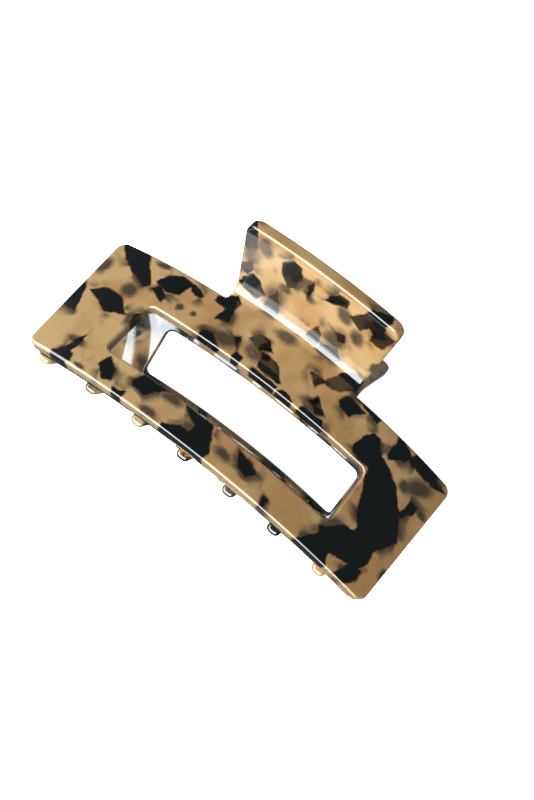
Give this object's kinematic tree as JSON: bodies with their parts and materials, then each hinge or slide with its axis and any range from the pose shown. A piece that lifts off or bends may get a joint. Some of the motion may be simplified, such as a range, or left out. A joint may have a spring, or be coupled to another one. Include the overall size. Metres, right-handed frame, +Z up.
{
  "type": "claw clip",
  "caption": "Large rectangular hair claw clip: two bowed window jaws with interleaved tooth combs, flared finger tabs and a sprung hinge pin.",
  "frame": {"origin": "middle of the clip's bounding box, on the surface it lies on", "axes": "+X along the hinge pin and the clip's length, +Y from the combs towards the finger tabs, +Z up"},
  "size_m": [0.1292, 0.0768, 0.0832],
  "materials": {
    "acetate": "polished honey and black tortoiseshell acetate",
    "pin_steel": "drawn steel rod",
    "cap_metal": "polished plated caps",
    "spring_wire": "drawn spring wire"
  },
  "bodies": {
    "back_half": {"back_jaw": "acetate", "back_comb": "acetate", "back_lug_left": "acetate", "back_lug_right": "acetate", "hinge_pin": "pin_steel", "pin_cap_left": "cap_metal", "pin_cap_right": "cap_metal", "torsion_spring": "spring_wire"},
    "front_half": {"front_jaw": "acetate", "front_comb": "acetate", "front_lug_left": "acetate", "front_lug_right": "acetate"}
  },
  "joints": [
    {"name": "jaw_hinge", "type": "hinge", "parent": "back_half", "child": "front_half", "pos_m": [0, 0.00721, 0.03889], "axis": [-1, 0, 0], "range_deg": [0, 55], "stiffness_Nm_per_rad": 0.25, "springref_deg": -57.3, "deforming": ["torsion_spring"]}
  ]
}
